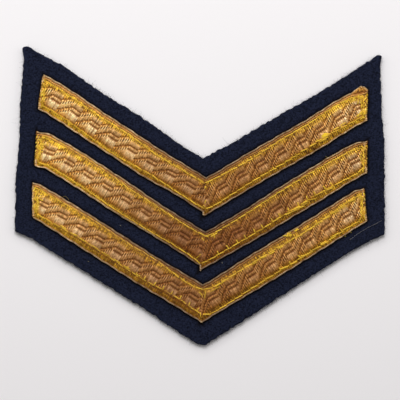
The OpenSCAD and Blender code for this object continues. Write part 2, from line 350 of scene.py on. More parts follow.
class Strands:
    """Tubes gathered into one mesh, with values kept for each of their points."""

    def __init__(self):
        self.points, self.faces, self.values, self.count = [], {}, {}, 0

    def add(self, centre, half_w, half_h, sides, **values):
        """centre holds the rings of as many tubes as it has rows. Sizes may vary by ring."""
        centre = np.asarray(centre, float)
        n, r, _ = centre.shape
        side, up = square_round(centre)
        turn = 2 * math.pi * np.arange(sides) / sides
        w = np.broadcast_to(np.asarray(half_w, float), (n, r))[..., None, None]
        h = np.broadcast_to(np.asarray(half_h, float), (n, r))[..., None, None]
        ring = (side[:, :, None] * (np.cos(turn)[:, None] * w)
                + up[:, :, None] * (np.sin(turn)[:, None] * h))
        points = (centre[:, :, None] + ring).reshape(-1, 3)
        k = np.arange(sides)
        base = (self.count + np.arange(n)[:, None, None] * r * sides
                + np.arange(r - 1)[None, :, None] * sides)
        quads = np.stack([base + k, base + (k + 1) % sides,
                          base + sides + (k + 1) % sides, base + sides + k], -1)
        self.faces.setdefault(4, []).append(quads.reshape(-1, 4)[:, ::-1])
        first = self.count + np.arange(n)[:, None] * r * sides
        self.faces.setdefault(sides, []).append(first + k)
        self.faces.setdefault(sides, []).append((first + (r - 1) * sides + k)[:, ::-1])
        values = dict(values, run=run_along(centre)[..., None], turn=turn / (2 * math.pi))
        for name, value in values.items():
            value = np.asarray(value, float)
            while value.ndim < 3 and name != "turn":
                value = value[..., None]
            self.values.setdefault(name, []).append(
                np.broadcast_to(value, (n, r, sides)).ravel())
        self.points.append(points)
        self.count += len(points)

    def add_twisted(self, centre, offset, pitch, phase, radius, sides, **values):
        """The two plies of a twisted thread round each row of centre."""
        side, up = square_round(centre)
        for k in (0, 1):
            turn = 2 * math.pi * run_along(centre) / pitch + math.pi * k + phase
            ply = centre + offset * (np.cos(turn)[..., None] * side + np.sin(turn)[..., None] * up)
            self.add(ply, radius, radius, sides, **values)

    def piece(self, name, material, slot):
        points = np.concatenate(self.points)
        faces = [np.concatenate(f) for f in self.faces.values()]
        values = {k: np.concatenate(v) for k, v in self.values.items()}
        make_piece(name, points, faces, material, values)


def make_piece(name, points, faces, material, values=None):
    """A mesh from points in millimetres and arrays of faces, riding on the badge."""
    mesh = bpy.data.meshes.new(name)
    loops = np.concatenate([f.ravel() for f in faces]).astype(np.int32)
    totals = np.concatenate([np.full(len(f), f.shape[1]) for f in faces]).astype(np.int32)
    starts = np.concatenate([[0], np.cumsum(totals)[:-1]]).astype(np.int32)
    mesh.vertices.add(len(points))
    mesh.vertices.foreach_set("co", (points * MM).astype(np.float32).ravel())
    mesh.loops.add(len(loops))
    mesh.loops.foreach_set("vertex_index", loops)
    mesh.polygons.add(len(totals))
    mesh.polygons.foreach_set("loop_start", starts)
    mesh.polygons.foreach_set("loop_total", totals)
    mesh.polygons.foreach_set("use_smooth", np.ones(len(totals), bool))
    mesh.update(calc_edges=True)
    mesh.validate()
    for key, value in (values or {}).items():
        layer = mesh.attributes.new(key, "FLOAT", "POINT")
        layer.data.foreach_set("value", np.asarray(value, np.float32))
    mesh.materials.append(material)
    obj = bpy.data.objects.new(name, mesh)
    bpy.context.scene.collection.objects.link(obj)
    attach(obj, "root")
    return obj


# Materials and finishes


def add_node(tree, kind, inputs=None, **settings):
    node = tree.nodes.new(kind)
    for key, value in settings.items():
        setattr(node, key, value)
    for key, value in (inputs or {}).items():
        if isinstance(value, bpy.types.NodeSocket):
            tree.links.new(value, node.inputs[key])
        else:
            node.inputs[key].default_value = value
    return node


def read_value(tree, name):
    return add_node(tree, "ShaderNodeAttribute", attribute_name=name).outputs["Fac"]


def place_of(tree):
    return add_node(tree, "ShaderNodeTexCoord").outputs["Object"]


def math_node(tree, operation, a, b=0.0, clamp=False):
    return add_node(tree, "ShaderNodeMath", {0: a, 1: b},
                    operation=operation, use_clamp=clamp).outputs[0]


def mix_colour(tree, factor, a, b, blend="MIX"):
    node = tree.nodes.new("ShaderNodeMix")
    node.data_type, node.blend_type = "RGBA", blend
    for socket, value in ((node.inputs["Factor"], factor), (node.inputs[6], a), (node.inputs[7], b)):
        if isinstance(value, bpy.types.NodeSocket):
            tree.links.new(value, socket)
        elif isinstance(value, float):
            socket.default_value = value
        else:
            socket.default_value = (*value, 1.0)
    return node.outputs[2]


def new_group(name, sockets):
    """A shader group with named sockets: rows of (way, name, kind, value)."""
    group = bpy.data.node_groups.new(name, "ShaderNodeTree")
    for way, label, kind, value in sockets:
        socket = group.interface.new_socket(label, in_out=way, socket_type=kind)
        if value is not None:
            socket.default_value = value
    return (group, group.nodes.new("NodeGroupInput").outputs,
            group.nodes.new("NodeGroupOutput").inputs)


def spun_thread_group():
    """The slanting plies and fine fibres of a spun or metal-wrapped thread."""
    group, given, out = new_group("spun_thread", [
        ("INPUT", "Turns per mm", "NodeSocketFloat", 2.0),
        ("INPUT", "Fibre size", "NodeSocketFloat", 2600.0),
        ("OUTPUT", "Height", "NodeSocketFloat", None)])
    run, turn = read_value(group, "run"), read_value(group, "turn")
    wound = math_node(group, "ADD", math_node(group, "MULTIPLY", run, given["Turns per mm"]), turn)
    wave = math_node(group, "SINE", math_node(group, "MULTIPLY", wound, 2 * math.pi))
    fibre = add_node(group, "ShaderNodeTexNoise", {
        "Vector": place_of(group), "Scale": given["Fibre size"], "Detail": 3.0}).outputs[0]
    height = math_node(group, "ADD", math_node(group, "MULTIPLY", wave, 0.35), fibre)
    group.links.new(height, out["Height"])
    return group


def tarnish_group():
    """Blotches and a slow drift of dulled metal, faded thread or matted wool. On the lace the drift
    also holds painted shade.
    """
    group, given, out = new_group("tarnish", [
        ("INPUT", "Bright", "NodeSocketColor", (1, 1, 1, 1)),
        ("INPUT", "Dull", "NodeSocketColor", (0.2, 0.1, 0.05, 1)),
        ("INPUT", "Drift", "NodeSocketFloat", 0.0),
        ("INPUT", "Blotches", "NodeSocketFloat", 0.3),
        ("INPUT", "Size", "NodeSocketFloat", 300.0),
        ("OUTPUT", "Color", "NodeSocketColor", None),
        ("OUTPUT", "Mask", "NodeSocketFloat", None)])
    noise = add_node(group, "ShaderNodeTexNoise", {
        "Vector": place_of(group), "Scale": given["Size"], "Detail": 4.0,
        "Roughness": 0.6}).outputs[0]
    blot = math_node(group, "MULTIPLY",
                     math_node(group, "SUBTRACT", noise, 0.5), given["Blotches"])
    mask = math_node(group, "ADD", given["Drift"], blot, True)
    group.links.new(mix_colour(group, mask, given["Bright"], given["Dull"]), out["Color"])
    group.links.new(mask, out["Mask"])
    return group


def strand_tone_group():
    """A colour made lighter, or darker and redder, by each strand's own tone."""
    group, given, out = new_group("strand_tone", [
        ("INPUT", "Color", "NodeSocketColor", (1, 1, 1, 1)),
        ("OUTPUT", "Color", "NodeSocketColor", None)])
    tone = read_value(group, "tone")
    warm = add_node(group, "ShaderNodeCombineColor", {
        0: tone, 1: math_node(group, "POWER", tone, 1.25),
        2: math_node(group, "POWER", tone, 1.6)}).outputs[0]
    group.links.new(mix_colour(group, 1.0, given["Color"], warm, "MULTIPLY"), out["Color"])
    return group


SPUN = spun_thread_group()
TARNISH = tarnish_group()
STRAND_TONE = strand_tone_group()


def new_material(name, **values):
    """A material with values on its shader's own sockets, its node tree and that shader."""
    material = bpy.data.materials.new(name)
    material.use_nodes = True
    tree = material.node_tree
    shader = tree.nodes["Principled BSDF"]
    for key, value in values.items():
        shader.inputs[key.replace("_", " ")].default_value = value
    return material, tree, shader


def use_group(tree, group, **inputs):
    node = tree.nodes.new("ShaderNodeGroup")
    node.node_tree = group
    for key, value in inputs.items():
        socket = node.inputs[key.replace("_", " ")]
        if isinstance(value, bpy.types.NodeSocket):
            tree.links.new(value, socket)
        elif isinstance(value, tuple):
            socket.default_value = (*value, 1.0)
        else:
            socket.default_value = value
    return node.outputs


def bump(tree, shader, height, strength, distance):
    node = add_node(tree, "ShaderNodeBump",
                    {"Height": height, "Strength": strength, "Distance": distance})
    tree.links.new(node.outputs[0], shader.inputs["Normal"])


def thread_finish(tree, shader, colour, turns, strength, distance):
    """Give a thread its colour and the bump of its twist."""
    tree.links.new(colour, shader.inputs["Base Color"])
    spun = use_group(tree, SPUN, Turns_per_mm=turns, Fibre_size=2600.0)
    bump(tree, shader, spun["Height"], strength, distance)


def dulled(tree, bright, dull, blotches, size, drift="worn"):
    """Bright turning to dull with a drift kept for each point, or one given."""
    if isinstance(drift, str):
        drift = read_value(tree, drift)
    return use_group(tree, TARNISH, Bright=bright, Dull=dull, Drift=drift,
                     Blotches=blotches, Size=size)


def gilt_weft_material():
    """Gilt thread: a pale painted highlight on the floats, orange where it is sewn down, brown
    painted shade where it sinks and under the cords.
    """
    material, tree, shader = new_material(
        "gilt_weft", Metallic=0.55, Coat_Weight=0.12, Coat_Roughness=0.25)
    colour = (1.0, 0.475, 0.060)
    # Tints in turn: a painted highlight on the floats, orange where sewn down, painted shade under
    # the edge cords, painted shade where the weft dips
    for value, tint in (("pale", (1.0, 0.72, 0.375)), ("sewn", (0.97, 0.605, 0.036)),
                        ("edge", (0.62, 0.26, 0.042)), ("sunk", (0.30, 0.085, 0.004))):
        colour = mix_colour(tree, read_value(tree, value), colour, tint)
    # Tarnish together with painted shade along each arm
    wear_and_shade = dulled(tree, (1.0, 1.0, 1.0), (0.36, 0.235, 0.18), 0.5, 420.0)
    worn = mix_colour(tree, 1.0, colour, wear_and_shade["Color"], "MULTIPLY")
    toned = use_group(tree, STRAND_TONE, Color=worn)["Color"]
    rough = math_node(tree, "ADD", 0.30, math_node(tree, "MULTIPLY", wear_and_shade["Mask"], 0.18))
    tree.links.new(rough, shader.inputs["Roughness"])
    thread_finish(tree, shader, toned, 3.2, 0.35, 0.00003)
    return material


def binder_material():
    material, tree, shader = new_material("amber_binder", Roughness=0.62)
    colour = dulled(tree, (0.40, 0.14, 0.018), (0.17, 0.05, 0.007), 0.8, 900.0)["Color"]
    thread_finish(tree, shader, colour, 3.0, 0.3, 0.00003)
    return material


def ground_material():
    """The close warp under the weft, seen in the gaps."""
    material, tree, shader = new_material("lace_ground", Roughness=0.75)
    colour = dulled(tree, (0.20, 0.075, 0.012), (0.07, 0.025, 0.006), 0.9, 700.0, 0.5)["Color"]
    tree.links.new(colour, shader.inputs["Base Color"])
    weave = add_node(tree, "ShaderNodeTexNoise",
                     {"Vector": place_of(tree), "Scale": 3200.0, "Detail": 2.0}).outputs[0]
    bump(tree, shader, weave, 0.4, 0.00005)
    return material


def cord_material():
    """Tan metal cord, the inner one more golden."""
    material, tree, shader = new_material("edge_cord", Roughness=0.45, Metallic=0.35)
    tan = dulled(tree, (0.68, 0.48, 0.25), (0.26, 0.165, 0.09), 0.8, 500.0)["Color"]
    golden = mix_colour(tree, 1.0, tan, (1.25, 0.96, 0.46), "MULTIPLY")
    both = mix_colour(tree, read_value(tree, "inner"), tan, golden)
    toned = use_group(tree, STRAND_TONE, Color=both)["Color"]
    thread_finish(tree, shader, toned, 2.4, 0.4, 0.00004)
    return material


def sewing_material():
    """Glossy yellow thread, worn here and there and lemon where it was sewn last."""
    material, tree, shader = new_material(
        "yellow_sewing", Roughness=0.38, Specular_IOR_Level=0.30,
        Sheen_Weight=0.15, Sheen_Tint=(1.0, 0.83, 0.30, 1.0))
    colour = dulled(tree, (1.0, 0.66, 0.055), (0.52, 0.285, 0.018), 0.6, 260.0)["Color"]
    fresh = mix_colour(tree, read_value(tree, "fresh"), colour, (0.95, 0.68, 0.030))
    thread_finish(tree, shader, fresh, 2.2, 0.4, 0.00004)
    return material


def wool_material():
    """Dense felted wool: lumps, short matted fibres, flecks of lint and a painted shadow beside the
    laces.
    """
    material, tree, shader = new_material(
        "navy_melton", Roughness=0.95, Specular_IOR_Level=0.06,
        Sheen_Weight=0.02, Sheen_Roughness=0.6, Sheen_Tint=(0.55, 0.6, 1.0, 1.0))
    place = place_of(tree)
    lumps = add_node(tree, "ShaderNodeTexNoise",
                     {"Vector": place, "Scale": 650.0, "Detail": 5.0, "Roughness": 0.65}).outputs[0]
    drawn_out = add_node(tree, "ShaderNodeMapping", {"Vector": place, "Scale": (1.0, 2.2, 1.0)})
    matted = add_node(tree, "ShaderNodeTexVoronoi",
                      {"Vector": drawn_out.outputs[0], "Scale": 1300.0}).outputs["Distance"]
    colour = dulled(tree, (0.0130, 0.0168, 0.0365), (0.0028, 0.0038, 0.0085), 4.2, 2300.0,
                    math_node(tree, "MULTIPLY", matted, 0.8))["Color"]
    # A painted shadow darkens the wool beside the laces
    with_lace_shadow = mix_colour(tree, read_value(tree, "near"), colour, (0.0025, 0.0018, 0.0022))
    tree.links.new(with_lace_shadow, shader.inputs["Base Color"])
    height = math_node(tree, "ADD", lumps, math_node(tree, "MULTIPLY", matted, 0.6))
    bump(tree, shader, height, 0.6, 0.00015)
    return material


def loose_material():
    """Loose threads from dark brown through olive to the grey of lint, by each one's tint."""
    material, tree, shader = new_material("stray_thread", Roughness=0.6)
    tint = read_value(tree, "tint")
    brown = mix_colour(tree, math_node(tree, "MULTIPLY", tint, 3.3, True),
                       (0.07, 0.045, 0.012), (0.24, 0.19, 0.03))
    grey = math_node(tree, "SUBTRACT", math_node(tree, "MULTIPLY", tint, 1.43), 0.43, True)
    colour = mix_colour(tree, grey, brown, (0.42, 0.42, 0.46))
    thread_finish(tree, shader, colour, 2.0, 0.3, 0.00003)
    return material


def fibre_material():
    material, tree, shader = new_material("navy_fibre", Roughness=0.8, Specular_IOR_Level=0.2)
    colour = dulled(tree, (0.014, 0.016, 0.034), (0.005, 0.006, 0.012), 0.5, 500.0, "tone")
    tree.links.new(colour["Color"], shader.inputs["Base Color"])
    return material


# The weave


def row_of(t, start):
    """The warp row, or half row, nearest to t."""
    return np.round((t - start) / ROW * 2) * ROW / 2 + start


def groove_at(path, u):
    """Height across the lace of a groove at shares u of the repeat, none outside its reach."""
    x, v = np.array(path).T
    inside = (u >= x[0]) & (u < x[-1])
    return np.where(inside, (1 - np.interp(u, x, v)) * LACE_W, np.nan)


class Weave:
    """The picks of one arm and the rows in which warps bind them."""

    def __init__(self, arm):
        self.arm = arm
        right = arm.side == RIGHT
        number = np.arange(math.floor(-2.0 / arm.pick), math.ceil((arm.reach + 1) / arm.pick))
        s = number * arm.pick
        low, high = np.zeros(len(s)), np.full(len(s), LACE_W)
        for line, margin in ((arm.mitre, 0.0 if right else UNDER_MITRE), (arm.end, 0.0)):
            cross = arm.meets(line, s)
            inside_low = arm.off_line(line, s, 0.0) > 0
            inside_high = arm.off_line(line, s, LACE_W) > 0
            low = np.where(~inside_low & inside_high, np.maximum(low, cross - margin), low)
            high = np.where(inside_low & ~inside_high, np.minimum(high, cross + margin), high)
            high = np.where(~inside_low & ~inside_high, low, high)
        keep = high - low > 0.35
        self.number, self.s = number[keep], s[keep]
        self.low, self.high = low[keep], high[keep]
        self.pair = self.number // 2
        self.odd = self.number % 2 == 1
        turns = ((self.pair * 2 + 0.5) * arm.pick - arm.start) / arm.step
        self.u = (turns if right else -turns) % 1.0
        self.level = (self.u < LEVEL_TO)[:, None]
        self.rows = ROW_START - (RIGHT_ROW_DROP if right else 0.0)
        self.find_binds()

    def find_binds(self):
        """For each pick, where the wave's grooves hold it down, how firmly and which are dotted."""
        binds, held, dotted = [], [], []
        for repeat in (0, 1):
            for path, hold_odd, hold_even in GROOVES:
                at = groove_at(path, self.u + repeat) - (ROW_START - self.rows)
                binds.append(row_of(at, self.rows))
                held.append(np.where(self.odd, hold_odd, hold_even))
                dotted.append(hold_odd - hold_even > 0.6)
        self.binds, self.held, self.dotted = np.stack(binds, 1), np.stack(held, 1), np.array(dotted)

    def floats(self, t):
        """Length of the float that each point is on, the share along it, and its nearer hold."""
        fixed = [CHANNEL_IN, LOW_CHANNEL, LACE_W - CHANNEL_OUT, LACE_W - CHANNEL_IN]
        bound = np.where(self.held > 0.4, self.binds, np.nan)
        holds = np.concatenate([bound, np.tile(fixed, (len(self.s), 1))], 1)[:, None, :]
        x = t[:, :, None]
        before = np.nanmax(np.where(holds <= x, holds, -0.5), axis=2)
        after = np.nanmin(np.where(holds > x, holds, LACE_W + 0.5), axis=2)
        span = np.maximum(after - before, 0.05)
        return span, np.clip((t - before) / span, 0, 1), np.minimum(t - before, after - t)

    def relief(self, t):
        """The weave's own relief at t, a row for each pick, and what colours it there: painted shade
        in its dips and a painted highlight on its floats.
        """
        left = self.arm.side == LEFT
        span, share, near = self.floats(t)
        hump = np.maximum(4 * share * (1 - share), 0)
        arch = np.minimum(ARCH_MOST, ARCH * span) * hump ** 0.6
        edge = np.minimum(t, LACE_W - t)
        field = smooth(CHANNEL_OUT - 0.5, CHANNEL_OUT, edge)
        channel = smooth(CHANNEL_IN - 0.3, CHANNEL_IN, edge) * (1 - field)

        away = np.where(np.isfinite(self.binds), self.binds, -9.0)[:, None, :] - t[:, :, None]
        sunk = np.max(self.held[:, None, :] * np.exp(-(away / DIP_SPREAD) ** 2), axis=2)
        # Dotted grooves: painted shade in the dots of odd picks, a painted highlight on the beads of
        # even picks
        beads = np.max(np.exp(-(away[:, :, self.dotted] / BEAD_SPREAD) ** 2), axis=2)
        beads = beads * np.where(self.odd, 1.0, -1.0)[:, None] * (1.0 if left else 0.6)
        sunk = np.maximum(sunk, 0.95 * np.maximum(beads, 0) ** 0.6)
        # A painted shade line in the gap beside the inner cord
        sunk = np.maximum(sunk, CORD_GAP_SHADE * np.exp(
            -((LACE_W - t - CORD_LINE) / CORD_LINE_W) ** 2))
        row = np.round((t - self.rows) / ROW)
        ticks = np.exp(-((t - row * ROW - self.rows) / TICK_W) ** 2)
        ticks = ticks * ((self.pair[:, None] + row) % 2 == 0)
        rise = arch * field - DIP * sunk - TICK_DIP * ticks * field
        rise = rise + 0.6 * arch * channel - CHANNEL_TICK_DIP * ticks * channel

        # Painted shade where floats are short and low, lighter near the low line of sewing
        shade = np.clip(1 - arch / (0.10 + 0.12 * smooth(0.3, 3.2, span)), 0, 1) ** 1.3
        soft = 0.50 if left else 0.80
        shade = shade * (1 - soft * np.exp(-((t - LOW_CHANNEL) / 0.5) ** 2))
        # A painted highlight on the tops of long floats, stronger on the float below a level groove
        pale = smooth(0.4, 3.0, span) * hump ** 0.5 * field
        below = np.exp(-((t - self.rows + ROW) / 0.40) ** 2)
        pale = pale * (0.70 + 0.60 * self.level) + LEVEL_HIGHLIGHT * below * self.level
        return SimpleNamespace(
            rise=rise, sunk=np.maximum(sunk, 0.8 * shade), ticks=ticks, beads=beads,
            pinch=PINCH * np.exp(-(near / PINCH_SPREAD) ** 2),
            pale=np.minimum(pale, 1.0) * (0.35 + 0.65 * smooth(1.9, 3.4, t)))


def yellow_zone(t, side):
    """Where the gilt keeps its full yellow: a wide band above, a narrower one below."""
    far_low, far_high = (1.75, 2.9) if side == LEFT else (2.6, 3.5)
    low = smooth(0.42, 0.65, t) * (1 - smooth(1.35, far_low, t))
    inset = LACE_W - t
    return np.maximum(low, smooth(1.00, 1.25, inset) * (1 - smooth(1.95, far_high, inset)))


def arm_weave_z(arm, s, t):
    """Height of the lace's threads at (s, t) without the weave's own relief: near the mitre
    the right arm lies raised on the left one."""
    inside = arm.off_line(arm.mitre, s, t)
    if arm.side == RIGHT:
        return lace_z(t) + 0.10 * (1 - smooth(0.6, 2.4, inside))
    return lace_z(t) - 0.12 * (1 - smooth(-0.2, 1.0, inside))


def fold_fall(arm, s, t):
    """Fall of the threads over the turned end, and over the mitre's fold on the right arm."""
    fall = fold_drop(arm.off_line(arm.end, s, t), 0.5)
    if arm.side == RIGHT:
        fall = fall + fold_drop(arm.off_line(arm.mitre, s, t), 0.28)
    return fall


def wear_and_shade_at(arm, s):
    """The lace is dulled and brown towards its point and brighter towards its ends: tarnish together
    with painted shade and painted light along the arm.
    """
    return np.clip(eased(WEAR_AND_SHADE[arm.chevron, arm.side], s / arm.reach), 0, 1)


WEAVES = {key: Weave(arm) for key, arm in ARMS.items()}


def blended(values, column):
    """Each row's values by column, blended between neighbouring columns."""
    k = column.astype(int)
    f = column - k
    return np.take_along_axis(values, k, 1) * (1 - f) + np.take_along_axis(values, k + 1, 1) * f


def add_picks(strands, arm, weave):
    """The gilt picks of one arm, each with its own wander, height and tone."""
    right = arm.side == RIGHT
    n = len(weave.s)
    t = weave.low[:, None] + (weave.high - weave.low)[:, None] * np.linspace(0, 1, WEFT_RINGS)
    woven = weave.relief(t)
    paired = np.where(weave.odd, -0.5, 0.5)[:, None] * arm.pick * woven.pinch
    wander = rng.normal(0, 0.018, (n, 1)) + 0.03 * np.sin(
        2 * math.pi * (t / 7.0 + weave.s[:, None] / 23.0))
    s = weave.s[:, None] + paired + wander
    z = arm_weave_z(arm, s, t) + woven.rise - fold_fall(arm, s, t)
    z = z + rng.normal(0, 0.010, (n, 1))
    z = z - 0.5 * smooth(0.25, 0.0, np.minimum(t, LACE_W - t))

    inside_end = arm.off_line(arm.end, s, t)
    pair_tone = rng.normal(0, 0.07, 4000)[weave.pair % 4000][:, None]
    flecks = blended(rng.normal(0, 0.19 if right else 0.13, (n, 12)),
                     np.clip(t / LACE_W, 0, 0.999) * 11)
    tone = rng.normal(1.0, 0.09, (n, 1)) + pair_tone + flecks + rng.normal(0, 0.10, t.shape)
    hatch = 0.07 if right else 0.03
    tone = tone + np.where(weave.odd, -hatch, hatch)[:, None]
    # Warp ticks darken the tone; even picks in dotted grooves get a painted highlight on their beads
    tone = tone - 2.0 * hatch * woven.ticks + 0.34 * np.maximum(-woven.beads, 0)
    tone = tone * (1 - 0.08 * weave.level * smooth(5.8, 6.3, t))

    yellow = yellow_zone(t, arm.side)
    crowded = smooth(2.4, 1.4, inside_end)
    group = (weave.number - weave.number[0]) // 2
    column = t / 0.45
    clumps = blended(rng.normal(0, 1, (group.max() + 1, 24))[group], column)
    tone = tone + 0.30 * np.maximum(yellow, crowded) * np.clip(clumps, -1.6, 1.4)
    # Lighter just inside the end, and lighter still under the painted highlight of the floats
    tone = tone * (1 + 0.20 * smooth(0.9, 0.3, inside_end)) * (1 + 0.12 * woven.pale)
    # Random gaps in the yellow bands and the warp ticks add painted shade
    gaps = (rng.random((group.max() + 1, 24)) < 0.09)[group[:, None], column.astype(int)]
    sunk = np.maximum(woven.sunk, 0.50 * gaps * yellow) + 0.12 * woven.ticks
    sewn = np.maximum(yellow * 0.9, 0.6 * crowded) + 0.25 * woven.ticks * (1 - yellow)
    # Tarnish together with painted shade and light along the arm
    worn = wear_and_shade_at(arm, s)
    pale = woven.pale * (1 - 0.6 * crowded) * (1 - 0.25 * worn)
    # On the right arms the painted highlight grows towards the end
    if right:
        pale = pale * (0.7 + 0.5 * smooth(arm.reach - 16, arm.reach - 5, s))
    # Painted shade on the weft under the edge cords
    under_cord_shade = np.maximum(1 - smooth(0.40, 0.60, t), 1 - smooth(0.95, 1.20, LACE_W - t))
    strands.add(arm.place(s, t, z), WEFT_HALF_W, WEFT_HALF_H, 4, pale=pale, worn=worn, edge=under_cord_shade,
                sunk=np.clip(sunk, 0, 1), sewn=np.clip(sewn, 0, 1), tone=np.maximum(tone, 0.25))


def build_weft(chevron, material):
    strands = Strands()
    for side in (LEFT, RIGHT):
        add_picks(strands, ARMS[chevron, side], WEAVES[chevron, side])
    if chevron == "upper":
        add_flap(strands)
    strands.piece(f"{chevron}_chevron_gilt_weft", material, "gold_lace")


def build_binders(chevron, material):
    """Warps that show where they cross over the picks: along the grooves and in small ticks."""
    strands = Strands()
    for side in (LEFT, RIGHT):
        arm, weave = ARMS[chevron, side], WEAVES[chevron, side]
        half = arm.pick * 0.62
        offsets = np.array((-half, -half * 0.45, half * 0.45, half))
        lift = np.array((-0.06, 0.055, 0.055, -0.06))
        for at, held in zip(weave.binds.T, weave.held.T):
            kept = np.isfinite(at) & (at > weave.low + 0.3) & (at < weave.high - 0.3) & (held > 0.45)
            kept &= (at > CHANNEL_OUT - 0.2) & (at < LACE_W - CHANNEL_OUT + 0.2)
            if not kept.any():
                continue
            s = weave.s[kept][:, None] + offsets
            t = np.repeat(at[kept][:, None], len(offsets), 1)
            rise = weave.relief(np.where(np.isfinite(at), at, 0.0)[:, None]).rise[kept]
            z = arm_weave_z(arm, s, t) + rise + lift + WEFT_HALF_H
            # The binders share the arm's tarnish and painted shade
            strands.add(arm.place(s, t, z), BINDER_R, BINDER_R, 4, worn=wear_and_shade_at(arm, s) * 0.8)
    strands.piece(f"{chevron}_chevron_binding_warps", material, "gold_lace")


def build_ground(chevron, material):
    """The body of the lace under its gilt weft: one closed strip, folded at the point."""
    across = np.linspace(0.16, LACE_W - 0.16, 30)
    columns = []
    for side in (LEFT, RIGHT):
        arm = ARMS[chevron, side]
        near = arm.runs_to(arm.mitre, across)
        far = arm.runs_to(arm.end, across) - 0.22
        shares = np.linspace(1, 0, 60) if side == LEFT else np.linspace(0, 1, 60)[1:]
        for share in shares:
            s = near + (far - near) * share
            z = arm_weave_z(arm, s, across) - WEFT_HALF_H - 0.02 - 0.3 * fold_fall(arm, s, across)
            columns.append((arm.place(s, across, z), arm.place(s, across, LACE_BASE)))
    top = np.array([c[0] for c in columns])
    low = np.array([c[1] for c in columns])
    n, m = top.shape[:2]
    points = np.concatenate([top.reshape(-1, 3), low.reshape(-1, 3)])
    index = np.arange(n * m).reshape(n, m)
    a, b, c, d = index[:-1, :-1], index[1:, :-1], index[1:, 1:], index[:-1, 1:]
    tops = np.stack([a, b, c, d], -1).reshape(-1, 4)
    lows = tops[:, ::-1] + n * m
    rim = np.concatenate([index[:, 0], index[-1, 1:], index[-2::-1, -1], index[0, -2:0:-1]])
    after = np.roll(rim, -1)
    walls = np.stack([rim, rim + n * m, after + n * m, after], -1)
    piece = make_piece(f"{chevron}_chevron_ground", points, [np.concatenate([tops, lows, walls])],
                       material)
    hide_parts(f"{chevron}_chevron")


def lumpy(run, low, high, step, spread):
    """The tone of a lumpy thread at points along it."""
    at = np.arange(low, high, step)
    return np.interp(run, at, rng.normal(1.0, spread, len(at)))


def add_rim(strands, arm):
    """The turned end: threads rolled over the fold, lumpy and pale."""
    low, high = arm.end
    way = (high - low) / np.linalg.norm(high - low)
    length = float(np.linalg.norm(high - low))
    inward = np.array((-arm.side * abs(way[1]), 0.0))
    run = np.arange(0.25, length - 0.45 - 0.8 * arm.droop, 0.16)
    for inset, z, radius in ((0.18, 2.52, 0.16), (0.46, 2.68, 0.12)):
        wobble = 0.07 * np.sin(run * 2.1 + arm.phase[0]) + rng.normal(0, 0.025, len(run))
        xy = low + way * run[:, None] + inward * (inset + wobble)[:, None]
        height = z + 0.05 * np.sin(run * 3.3 + arm.phase[1])
        centre = np.column_stack([xy, height])[None]
        lumps = radius * (0.74 + 0.30 * np.sin(run * 8.5 + arm.phase[2]))[None]
        tone = np.maximum(lumpy(run, 0, 14, 0.33, 0.30), 0.3)
        # The rim takes the tarnish and painted shade of the arm's end
        strands.add_twisted(centre, radius * 0.6, RIM_TWIST, rng.uniform(0, 6), lumps, 4,
                            inner=0.35, tone=tone[None], worn=0.6 * wear_and_shade_at(arm, arm.reach))


def open_path(points, step):
    """The open line through some points, with its own points at about an even step."""
    points = np.array(points, float)
    length = run_along(points)[-1]
    return points_at(points, np.linspace(0, length, max(2, round(length / step))))


def add_flap(strands):
    """Threads of the turned-under corner that shows above the upper right end."""
    arm = ARMS["upper", RIGHT]
    s = np.linspace(arm.reach - 9, arm.reach, 40)
    edge = arm.place(s, LACE_W, 0.0)
    x = np.arange(45.9, 50.3, 0.27)
    base = np.interp(x, edge[:, 0], edge[:, 1]) - 0.35
    top = np.interp(x, *np.array(FLAP[:5]).T) - 0.12
    share = np.linspace(0, 1, 8)
    y = base[:, None] + (top - base)[:, None] * share
    z = np.broadcast_to(2.34 + 0.07 * np.sin(math.pi * share), y.shape)
    centre = np.stack([x[:, None] + 0.25 * share - 0.1, y, z], -1)
    # Darker threads at random and painted shade in the gap along the lace; the edge tint adds
    # painted shade
    sunk = np.maximum(rng.uniform(0, 0.5, y.shape), smooth(0.45, 0.25, share))
    strands.add(centre, 0.14, 0.09, 4, sunk=sunk, sewn=0.35, pale=0.15, worn=0.35,
                tone=np.maximum(rng.normal(0.95, 0.40, y.shape), 0.3), edge=0.3)


def add_tip(strands, chevron):
    """The cord that goes round the folded tip, where the right arm hides the left one's."""
    left, right = ARMS[chevron, LEFT], ARMS[chevron, RIGHT]
    inset, radius = CORDS[0][1:3]
    tip, inner = right.mitre
    up = (inner - tip) / np.linalg.norm(inner - tip)
    start = left.place(left.runs_to(left.mitre, inset) + 0.1, inset, 0.0)[:2]
    stop = right.place(right.runs_to(right.mitre, inset) + 0.55, inset, 0.0)[:2]
    inside = tip + 0.75 * up + (0.08, 0.0), tip + 0.38 * up + (0.12, 0.0)
    path = open_path((start, *inside, stop), 0.1)
    height = 2.56 + 0.10 * smooth(0.0, 0.6, np.linspace(0, 1, len(path)))
    centre = np.column_stack([path, height])[None]
    tone = 1.15 + 0.25 * np.sin(9.0 * np.arange(len(path)) * 0.1)
    strands.add_twisted(centre, radius * CORD_PLY_OUT, TIP_TWIST, 0.0, radius * CORD_PLY_R, 4,
                        inner=0.0, tone=tone[None], worn=0.45)


